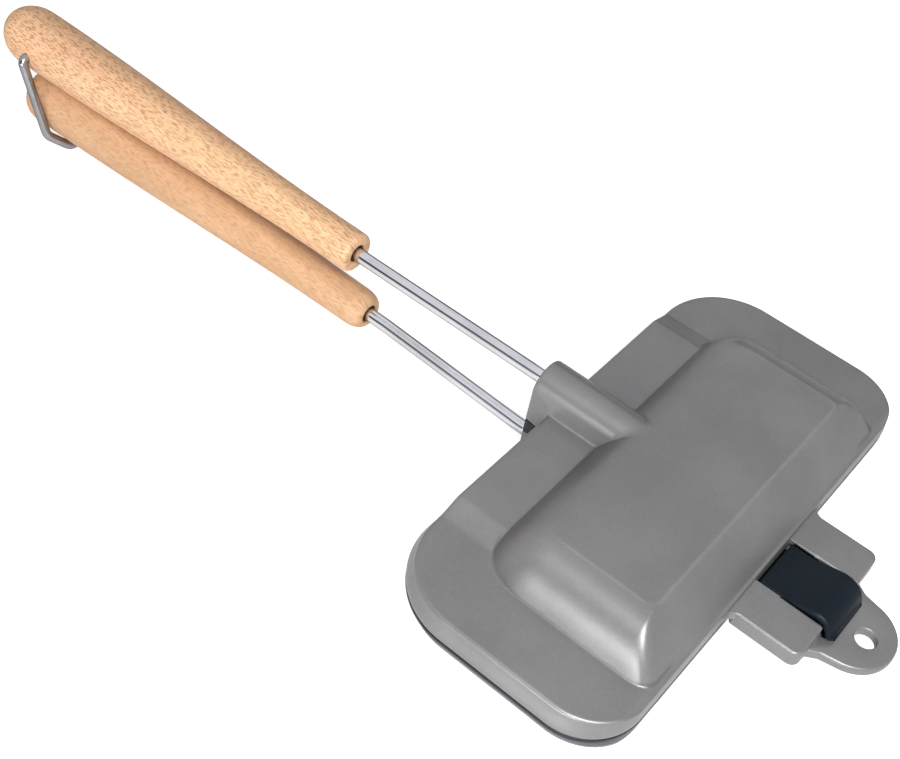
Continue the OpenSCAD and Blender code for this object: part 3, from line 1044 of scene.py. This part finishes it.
        skirt = (lean, self.hinge_lean, self.lean)
        rounds = (edge, self.hinge_edge, self.edge_r)
        plan = self.fill(*self.border(*(a + b for a, b in zip(skirt, rounds)), 1.0))
        outer = np.dstack([plan, self.top(plan[..., 0], plan[..., 1])])
        crest = self.rim_of(outer)[:, 2]
        edge_all = self.rim_of(self.fill(*self.border(edge, self.hinge_edge, self.edge_r, 0.0)))
        plain = self.rim_of(self.fill(*self.border(0.0, 0.0, 0.0, 0.0)))
        drop = np.abs(edge_all - plain).max(axis=1)
        for a in np.radians([0.0, 22.5, 45.0, 67.5, 90.0]):
            now = [b + c * (1.0 - math.sin(a)) for b, c in zip(skirt, rounds)]
            ring(loop(*now), crest - drop * (1.0 - math.cos(a)), 0.0)
        shoulder = crest - drop
        for share in (0.25, 0.5, 0.75, 1.0):
            now = [b * (1.0 - share) for b in skirt]
            ring(loop(*now), shoulder + (self.band - shoulder) * share, 0.0)
        foot = 0.25
        for a in np.radians([0.0, 30.0, 60.0, 90.0]):
            d = foot * (1.0 - math.cos(a))
            ring(loop(d, d, d), self.rim_gap + foot * (1.0 - math.sin(a)), 0.3 + a / 2.0)
        lip = 0.4
        for share in (0.4, 1.0):
            d = foot * (1.0 - share) + (self.rim_land - lip) * share
            ring(loop(d, d, d, 1.0 - share), self.rim_gap, 1.0)
        for a in np.radians([30.0, 60.0, 90.0]):
            d = self.rim_land - lip * (1.0 - math.sin(a))
            ring(loop(d, d, d, 0.0), self.rim_gap + lip * (1.0 - math.cos(a)), 1.0)
        cove, inner = 1.2, 0.6
        last = self.rim_land + inner + cove
        plan = self.fill(*self.border(last, last, last, 0.0))
        under = np.dstack([plan, self.top(plan[..., 0], plan[..., 1], self.wall)])
        ceiling = self.rim_of(under)[:, 2]
        for a in np.radians([0.0, 22.5, 45.0, 67.5, 90.0]):
            d = self.rim_land + inner + cove * (1.0 - math.cos(a))
            ring(loop(d, d, d, 0.0), ceiling - 0.9 * cove * (1.0 - math.sin(a)), 1.0)
        rows, cols = outer.shape[:2]
        round_count = rings[0].shape[0]
        sheet = grid_quads(rows, cols, False, False)
        wrap = grid_quads(len(rings), round_count, False, True)
        points = np.concatenate([outer.reshape(-1, 3), *rings, under.reshape(-1, 3)])
        on_top = rows * cols
        on_rings = len(rings) * round_count
        faces = np.concatenate([sheet, wrap + on_top, sheet + on_top + on_rings])
        coats = np.concatenate([np.zeros(on_top), np.repeat(coat, round_count), np.ones(on_top)])
        # Painted highlight and painted shade, on the outer grid only.
        worn = np.zeros(len(points))
        worn[:on_top] = self.worn(outer[..., 0], outer[..., 1]).ravel()
        return points, faces, {"coat": np.clip(coats, 0.0, 1.0), "worn": worn}


@dataclass
class Hinge:
    """Hook of the lower half, and ears, bar and hanging tab of the upper one."""

    rim_x: float = 34.55
    parting: float = 17.4
    bar_x: float = 50.95
    bar_z: float = 15.6
    bar_r: float = 3.4
    hook_in: float = 3.5
    hook_t: float = 3.1
    hook_half: float = 8.32
    hook_corner: float = 2.4
    hook_edge: float = 1.1
    tip_r: float = 1.2
    rise_r: float = 5.0
    lip_r: float = 0.4
    jaw_end: float = 182.0
    window_half: float = 8.6
    ears_half: float = 20.7
    ear_top: float = 20.4
    ear_t: float = 5.4
    ear_x: float = 53.95
    ear_corner: float = 2.5
    root_in: float = 0.9
    root_out: float = 7.0
    root_wide: float = 3.6
    foot_run: float = 5.0
    foot_in: float = 5.0
    tongue_drop: float = 0.35
    tongue_flat: float = 7.5
    tab_top: float = 15.2
    tab_t: float = 3.0
    tab_x: float = 59.55
    tab_r: float = 11.18
    hole_x: float = 62.95
    hole_r: float = 2.9
    clear: float = 0.35
    lip_clear: float = 0.15

    def hook(self) -> Piece:
        """Tongue that leaves the rim level with the ears, then rises and curls over the bar.

        Its back keeps inside the circle that the upper rim swings on.

        Returns:
            The new object.
        """
        outer = self.hook_in + self.hook_t
        centre = np.array([self.bar_x, self.bar_z])
        swing = self.bar_x - self.rim_x - self.lip_clear
        level = self.ear_top - self.tongue_drop
        lip = [self.bar_x - math.sqrt(swing**2 - (level - self.bar_z) ** 2), level]
        rise = np.array([self.rim_x + self.tongue_flat, level])
        to_bar = centre - rise
        away = math.degrees(math.atan2(to_bar[1], to_bar[0]))
        tangent = away + 180.0 - math.degrees(math.acos(outer / np.linalg.norm(to_bar)))
        low = self.tab_top + self.clear - self.bar_z
        end_out = math.degrees(math.asin(low / outer))
        end_in = math.degrees(math.asin(low / self.hook_in))
        over = arc(centre, outer, end_out, tangent, 44)
        under = arc(centre, self.hook_in, self.jaw_end, end_in, 40)
        jaw = arc(centre, outer, self.jaw_end, self.jaw_end, 0)
        root = [
            [self.rim_x + self.clear, self.parting - 0.3], [self.rim_x - 3.0, self.parting - 0.5],
            [self.rim_x - 2.5, 10.4],
        ]
        path = np.concatenate([over, [rise], [lip], root, jaw, under])
        radii = np.zeros(len(path))
        radii[[0, -1]] = self.tip_r
        radii[len(over):len(over) + 2] = self.rise_r, self.lip_r
        outline = rounded(path, radii, 6, True)
        far, r = centre[0] + outer, self.hook_corner

        def round_end(points: Array) -> Array:
            """Narrows the curl toward its far face, so that its corners are round in plan.

            Args:
                points: Points of the slab.

            Returns:
                The changed points.
            """
            into = np.clip(points[:, 0] - far + r, 0.0, r)
            half = self.hook_half - r + np.sqrt(r * r - 0.9 * into * into)
            same = np.ones(len(points))
            return points * np.column_stack([same, half / self.hook_half, same])

        return slab(outline, -self.hook_half, self.hook_half, self.hook_edge, Plane.SIDE,
                    "hinge_hook", round_end)

    def ear(self, side: Side) -> list[Piece]:
        """One ear: a rounded plate, its filleted root over the rim and its foot on the tab.

        Args:
            side: Side of the window that it stands on.

        Returns:
            Its three pieces.
        """
        y0, y1, x0, x1 = self.window_half, self.ears_half, self.rim_x, self.ear_x
        inner, face, outer = x0 - self.root_in, x0 + 0.05, x0 + self.root_out
        wide, shy = y1 + self.root_wide, y1 - 0.3
        plate = [[x0 + self.clear, y0], [x1, y0], [x1, y1], [x0 + self.clear, y1]]
        root = [[inner, y0], [outer, y0], [outer, shy], [face, shy], [face, wide], [inner, wide]]
        foot_x, foot_y, end = x1 - self.foot_run, y1 - self.foot_in, x1 - 0.1
        foot = [[foot_x, y0], [end, y0], [end, foot_y], [foot_x, foot_y]]
        top = self.ear_top
        parts = [
            ("plate", plate, [0.9, 0.9, self.ear_corner, 0.9], top - self.ear_t, top, 0.7),
            ("root", root, [0, 0, 0, 2.8, 0.4, 0], self.parting + 0.16, top - 0.004, 0.25),
            ("foot", foot, [1.0, 0.7, 2.0, 1.5], self.tab_top - self.tab_t, top - 1.5, 0.5),
        ]
        made = []
        for part, corners, radii, low, high, edge in parts:
            outline = rounded(np.array(corners), np.array(radii, float), 8, True)
            if side is Side.NEAR:
                outline = (outline * [1.0, -1.0])[::-1]
            name = f"{side.name.lower()}_ear_{part}"
            made.append(slab(outline, low, high, edge, Plane.PLAN, name))
        return made

    def tab(self) -> Piece:
        """Hanging tab as rings round its hole, from the hole's edge out to the outline and back.

        The outline is read as a distance from the hole's centre at each angle. Its two shoulders
        lie below the ears, and its edges are quarter rounds.

        Returns:
            The new object.
        """
        neck = self.tab_r + 1.4
        shoulder = np.array([
            [self.bar_x, -neck], [self.ear_x - 1.0, -neck - 1.6], [self.ear_x + 2.6, -neck + 0.6],
        ])
        side = arc((self.tab_x, 0.0), self.tab_r, -78.0, 78.0, 60)
        path = np.concatenate([shoulder, side, (shoulder * [1.0, -1.0])[::-1]])
        radii = np.zeros(len(path))
        radii[[0, -1]] = 0.5
        radii[[2, -3]] = 3.0
        outline = rounded(path, radii, 8, True)
        outline = resampled(np.concatenate([outline, outline[:1]]), 900)
        rel = outline - [self.hole_x, 0.0]
        angle, far = np.arctan2(rel[:, 1], rel[:, 0]), np.linalg.norm(rel, axis=1)
        order = np.argsort(angle)
        a = np.linspace(-np.pi, np.pi, 240, endpoint=False)
        far = np.interp(a, angle[order], far[order], period=2.0 * np.pi)
        turn = np.radians(np.array([90.0, 67.5, 45.0, 22.5, 0.0]))
        lip, rim = 0.35, 0.7
        inner_d, inner_z = lip * (1 - np.sin(turn)), lip * (1 - np.cos(turn))
        outer_d, outer_z = rim * (1 - np.sin(turn)), rim * (1 - np.cos(turn))
        top, low = self.tab_top, self.tab_top - self.tab_t
        near = np.full_like(a, self.hole_r)
        rings = [(near + d, top - z) for d, z in zip(inner_d, inner_z)]
        rings += [((near + far) * 0.5, top)]
        rings += [(far - d, top - z) for d, z in zip(outer_d[::-1], outer_z[::-1])]
        rings += [(far - d, low + z) for d, z in zip(outer_d, outer_z)]
        rings += [((near + far) * 0.5, low)]
        rings += [(near + d, low + z) for d, z in zip(inner_d[::-1], inner_z[::-1])]
        points = np.array([
            np.column_stack([self.hole_x + r * np.cos(a), r * np.sin(a), np.full_like(a, z)])
            for r, z in rings
        ])
        faces = grid_quads(len(rings), len(a), True, True)
        return make_piece("hanging_tab", points.reshape(-1, 3), faces)

    def bar(self) -> Piece:
        """Round bar across the window, inside the hook."""
        profile = rod_profile(self.bar_r, self.window_half + 2.0)
        return turned(profile, (self.bar_x, 0.0, self.bar_z), (0.0, 1.0, 0.0), "hinge_bar")


@dataclass
class CastPans:
    """Both cast halves with the hinge's pieces."""

    form: HalfForm
    hinge: Hinge
    finish: CastFinish
    hook_finish: CastFinish
    coat_top: float = 4.6
    coat_fade: float = 0.8

    def build(self) -> None:
        """Builds and dresses the two castings. The lower one's skirt has the coat too."""
        material = self.finish.build()
        points, faces, values = self.form.shell()
        placed = points + [0.0, 0.0, self.hinge.parting]
        upper = make_piece("upper_pan_shell", placed, faces, 50.0, values)
        dress(upper, material, "cast_grey", "upper_half", "upper_pan")
        flipped = points * [1.0, 1.0, -1.0] + [0.0, 0.0, self.hinge.parting]
        skirt = np.clip((self.coat_top - points[:, 2]) / self.coat_fade, 0.0, 1.0)
        values["coat"] = np.maximum(values["coat"], skirt)
        lower = make_piece("lower_pan_shell", flipped, faces, 50.0, values)
        dress(lower, material, "coat_black", "lower_half", "lower_pan")
        bare = [self.hinge.tab(), self.hinge.bar()]
        for side in Side:
            bare += self.hinge.ear(side)
        for piece in bare:
            self.coated(piece, 0.0)
            dress(piece, material, "cast_grey", "upper_half", "upper_pan")
        hook = self.hinge.hook()
        self.coated(hook, 1.0)
        dress(hook, self.hook_finish.build(), "coat_black", "lower_half", "lower_pan")

    @staticmethod
    def coated(piece: Piece, share: float) -> None:
        """Marks a whole piece as bare paint or as non-stick coat."""
        layer = piece.data.attributes.new("coat", "FLOAT", "POINT")
        layer.data.foreach_set("value", np.full(len(piece.data.vertices), share, np.float32))


# --- Rods, grips and bail


@dataclass
class Handle:
    """One rod with its grip."""

    name: str
    body: str
    rod_z: float
    grip_x: float
    grip_z: float
    socket_end: float = -17.55
    boss_x: float = -39.55
    rod_d: float = 4.0
    straight: float = 6.0
    bend_r: float = 22.0
    in_grip: float = 82.0
    length: float = 149.0
    front_r: float = 6.0
    edge_r: float = 1.4
    edge_run: float = 1.4
    belly_r: float = 9.45
    belly_at: float = 140.0
    dome: float = 12.0
    dome_power: float = 2.0
    mouth_r: float = 2.85
    mouth_depth: float = 13.0

    def rod(self) -> Piece:
        """Steel rod: straight in the socket and the grip, with one slight lean between.

        Returns:
            The new object.
        """
        corners = np.array([
            [self.socket_end, 0.0, self.rod_z],
            [self.boss_x - self.straight, 0.0, self.rod_z],
            [self.grip_x + self.straight, 0.0, self.grip_z],
            [self.grip_x - self.in_grip, 0.0, self.grip_z],
        ])
        path = rounded(corners, np.array([0, self.bend_r, self.bend_r, 0]), 10, False)
        return wire(path, (0.0, 1.0, 0.0), self.rod_d / 2, f"{self.name}_rod", 64)

    def radius(self, s: Array) -> Array:
        """Radius of the grip: a half wave from the front to the belly, ended by a dome.

        The dome is a quarter superellipse: (1 - past^p)^(1/p) of the radius.

        Args:
            s: Distance from the front end.

        Returns:
            Radius there.
        """
        swell = (1.0 - np.cos(np.pi * np.clip(s / self.belly_at, 0.0, 1.0))) / 2.0
        past = np.clip((s - self.length + self.dome) / self.dome, 0.0, 1.0)
        p = self.dome_power
        body = self.front_r + (self.belly_r - self.front_r) * swell
        return body * (1.0 - past**p) ** (1.0 / p)

    def grip(self) -> Piece:
        """Turned grip with its rounded front, the mouth round the rod and the domed far end.

        Returns:
            The new object.
        """
        a = np.radians(np.linspace(0.0, 90.0, 7))
        lip, mouth_in = 0.3, 0.9
        mouth = np.array([
            [self.mouth_depth, 0.0], [self.mouth_depth, self.mouth_r], [mouth_in, self.mouth_r],
        ])
        edge = np.column_stack([lip * (1 - np.sin(a)), self.mouth_r + lip * (1 - np.cos(a))])
        front = np.column_stack([
            self.edge_run * (1 - np.cos(a)), self.front_r - self.edge_r * (1 - np.sin(a)),
        ])
        s = np.linspace(self.edge_run, self.length - self.dome, 90)[1:]
        body = np.column_stack([s, self.radius(s)])
        t = self.length - self.dome + self.dome * np.sin(np.radians(np.linspace(4.0, 90.0, 24)))
        end = np.column_stack([t, self.radius(t)])
        profile = np.concatenate([mouth, edge, front, body, end])
        start = (self.grip_x, 0.0, self.grip_z)
        sides = 112
        # The three points inside the bore carry the painted shade of the hole.
        scorch = np.zeros((len(profile), sides))
        scorch[:3] = 1.0
        return turned(profile, start, (-1.0, 0.0, 0.0), f"{self.name}_grip_turned", sides, 60.0,
                      {"scorch": scorch.ravel()})


@dataclass
class Bail:
    """Wire loop that swings on the upper grip and holds the lower one."""

    pivot_x: float = -237.55
    pivot_z: float = 27.8
    grip_z: float = 8.55
    wire_d: float = 2.9
    lean: float = 20.0
    bend_r: float = 3.5
    end_r: float = 1.75
    end_y: float = 2.95
    side_y: float = 11.25
    hug_r: float = 11.25
    fit: float = 0.08

    def loop(self) -> Piece:
        """The loop: an end in the grip, a side, a slant, the far bar and the same mirrored.

        Slant and far bar keep hug_r off the lower grip's axis, as seen along the leaning plane.

        Returns:
            The new object.
        """
        lean = math.radians(self.lean)
        axis = (self.pivot_z - self.grip_z) / math.cos(lean)
        far = axis + self.hug_r / math.cos(lean)
        reach = self.hug_r * math.hypot(1.0, 1.0 / math.cos(lean))
        half = np.array([
            [self.end_y, 0.0], [self.side_y, 0.0], [self.side_y, axis + reach - self.side_y],
            [reach - self.hug_r / math.cos(lean), far],
        ])
        flat = np.concatenate([half, (half * [-1.0, 1.0])[::-1]])
        radii = np.array([0, self.end_r, self.bend_r, self.bend_r] * 2, float)
        radii[4:] = radii[3::-1]
        path = rounded(flat, radii, 12, False)
        points = np.column_stack([
            self.pivot_x + path[:, 1] * math.sin(lean), path[:, 0],
            self.pivot_z - path[:, 1] * math.cos(lean),
        ])
        across = (math.cos(lean), 0.0, math.sin(lean))
        return wire(points, across, self.wire_d / 2, "bail_wire", 36)


@dataclass
class Handles:
    """Both rods and grips, with the bail on the upper grip."""

    upper: Handle
    lower: Handle
    bail: Bail
    steel: SteelFinish
    wire_steel: SteelFinish
    upper_beech: BeechFinish
    # Darker copy of the beech: painted shade for the lower grip, which lies in the upper grip's
    # shadow.
    shaded_lower_beech: BeechFinish

    def build(self) -> None:
        """Builds and dresses the rods, grips and bail."""
        steel = self.steel.build()
        for handle, beech in ((self.upper, self.upper_beech), (self.lower, self.shaded_lower_beech)):
            dress(handle.rod(), steel, "rod_steel", handle.body, f"{handle.name}_rod")
            grip = handle.grip()
            if handle is self.upper:
                place = (self.bail.pivot_x, 0.0, self.bail.pivot_z)
                hole_r = self.bail.wire_d / 2 + self.bail.fit
                drill(grip, place, (0.0, 1.0, 0.0), hole_r, 3 * handle.belly_r)
            dress(grip, beech.build(), "beech", handle.body, f"{handle.name}_grip")
        dress(self.bail.loop(), self.wire_steel.build(), "wire_steel", "bail", "locking_bail")


# --- Studio


@dataclass(frozen=True)
class Lamp:
    """Rectangular soft light aimed at the pan, in millimetres and watts."""

    name: str
    place: tuple[float, float, float]
    wide: float
    tall: float
    power: float

    def hang(self) -> None:
        """Adds the lamp to the scene, turned to the middle of the pan."""
        data = bpy.data.lights.new(self.name, "AREA")
        data.shape = "RECTANGLE"
        data.size = self.wide * MM
        data.size_y = self.tall * MM
        data.energy = self.power
        light = bpy.data.objects.new(self.name, data)
        bpy.context.scene.collection.objects.link(light)
        place = Vector(self.place)
        turn = (Vector((0.0, 0.0, 20.0)) - place).to_track_quat("-Z", "Y").to_matrix().to_4x4()
        light.matrix_world = Matrix.Translation(place * MM) @ turn


@dataclass
class Studio:
    """Camera, floor and soft lights, in millimetres and degrees."""

    target: tuple[float, float, float] = (-62.8, -9.8, 17.4)
    distance: float = 383.4
    azimuth: float = 31.94
    elevation: float = 46.97
    roll: float = 10.39
    lens: float = 56.29
    floor_z: float = -4.3
    floor_seen: float = 0.66
    floor_mirrored: float = 0.15
    ambient: float = 0.17
    near_wall: float = 0.5
    far_wall: float = 0.85
    gap: float = 0.06
    lamps: tuple[Lamp, ...] = (
        Lamp("key", (250.0, -400.0, 580.0), wide=380.0, tall=380.0, power=6.2),
        Lamp("low_strip", (110.0, -1000.0, 165.0), wide=640.0, tall=100.0, power=4.4),
    )

    def camera(self) -> None:
        """Camera on a sphere round its target, turned about its own axis by the roll."""
        a, e = math.radians(self.azimuth), math.radians(self.elevation)
        back = Vector((math.sin(a) * math.cos(e), -math.cos(a) * math.cos(e), math.sin(e)))
        data = bpy.data.cameras.new("camera")
        data.lens = self.lens
        data.clip_start, data.clip_end = 0.01, 20.0
        camera = bpy.data.objects.new("camera", data)
        bpy.context.scene.collection.objects.link(camera)
        turn = (-back).to_track_quat("-Z", "Y").to_matrix().to_4x4()
        roll = Matrix.Rotation(math.radians(self.roll), 4, "Z")
        place = Matrix.Translation((Vector(self.target) + back * self.distance) * MM)
        camera.matrix_world = place @ turn @ roll
        bpy.context.scene.camera = camera

    def floor(self) -> None:
        """Plain pale floor that shows white to the camera and keeps the shadow.

        In what shines, its lit colour and a little glow add up to about white.
        """
        size = 3.0
        z = self.floor_z * MM
        corners = [(-size, -size, z), (size, -size, z), (size, size, z), (-size, size, z)]
        mesh = bpy.data.meshes.new("floor")
        mesh.from_pydata(corners, [], [(0, 1, 2, 3)])
        floor = bpy.data.objects.new("floor", mesh)
        bpy.context.scene.collection.objects.link(floor)
        g = Graph("pale_floor")
        g.set("Base Color", (0.86, 0.86, 0.86))
        g.set("Roughness", 0.9)
        g.set("Specular IOR Level", 0.1)
        g.set("Emission Color", (1.0, 1.0, 1.0))
        ray = g.add("ShaderNodeLightPath").outputs
        seen = g.math("MULTIPLY", ray["Is Camera Ray"], self.floor_seen)
        mirrored = g.math("MULTIPLY", ray["Is Glossy Ray"], self.floor_mirrored)
        g.set("Emission Strength", g.math("MAXIMUM", seen, mirrored))
        mesh.materials.append(g.material)

    def lights(self) -> None:
        """A key light over the near side, a low strip beside it and a plain world.

        What shines sees the world as pale walls, with a dark gap on the near and the far side.
        Everything else gets one even level from it, and the camera sees it white.
        """
        for lamp in self.lamps:
            lamp.hang()
        world = bpy.data.worlds.new("studio")
        world.use_nodes = True
        g = Nodes(world.node_tree)
        way = g.add("ShaderNodeTexCoord").outputs["Generated"]
        y = g.add("ShaderNodeSeparateXYZ", {"Vector": way}).outputs["Y"]
        share = g.add("ShaderNodeMapRange", {"Value": y, "From Min": -1.0}).outputs["Result"]
        walls = g.add("ShaderNodeValToRGB", {"Fac": share})
        near, gap, far = ((level, level, level, 1.0)
                          for level in (self.near_wall, self.gap, self.far_wall))
        stops = walls.color_ramp.elements
        stops[0].color, stops[1].color = near, far
        for place, level in ((0.05, near), (0.06, gap), (0.13, gap), (0.145, far),
                             (0.915, far), (0.925, gap), (0.968, gap), (0.975, far)):
            stops.new(place).color = level
        ray = g.add("ShaderNodeLightPath").outputs
        level = g.add("ShaderNodeMix", {
            "Factor": ray["Is Glossy Ray"], "A": self.ambient, "B": walls.outputs["Color"],
        }).outputs["Result"]
        level = g.add("ShaderNodeMix", {"Factor": ray["Is Camera Ray"], "A": level, "B": 1.0})
        backdrop = g.tree.nodes["Background"]
        g.put((0.94, 0.95, 1.0), backdrop.inputs["Color"])
        g.put(level.outputs["Result"], backdrop.inputs["Strength"])
        bpy.context.scene.world = world

    def build(self) -> None:
        """Sets up the whole studio."""
        self.camera()
        self.floor()
        self.lights()
        bpy.context.scene.view_settings.view_transform = "Standard"


def main() -> None:
    """Builds the object, then its studio."""
    logging.basicConfig(level=logging.INFO, format="%(name)s %(message)s")
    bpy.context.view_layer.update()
    CastPans(
        HalfForm(),
        Hinge(),
        CastFinish("cast_paint_and_coat"),
        CastFinish("hook_coat", coat_gloss=0.3, specular=0.12),
    ).build()
    Handles(
        upper=Handle("upper", "upper_half", rod_z=28.5, grip_x=-106.55, grip_z=27.8),
        lower=Handle("lower", "lower_half", rod_z=6.3, grip_x=-100.05, grip_z=8.55, length=144.6,
                     dome=7.0, dome_power=2.5, edge_r=2.3, edge_run=5.0),
        bail=Bail(),
        steel=SteelFinish("bright_rod"),
        wire_steel=SteelFinish("bail_steel", tone=(0.42, 0.42, 0.44), edge=(0.1, 0.1, 0.12),
                               gloss=0.16),
        upper_beech=BeechFinish("upper_beech"),
        # Darker copy of the beech: painted shade for the lower grip, which lies in the upper grip's
        # shadow.
        shaded_lower_beech=BeechFinish("shaded_lower_beech", light=(0.68, 0.42, 0.24), deep=(0.56, 0.32, 0.165),
                                pink=(0.62, 0.35, 0.205), fleck_depth=0.5, axis_z=8.55,
                                offset=0.4),
    ).build()
    Studio().build()


if __name__ == "__main__":
    main()
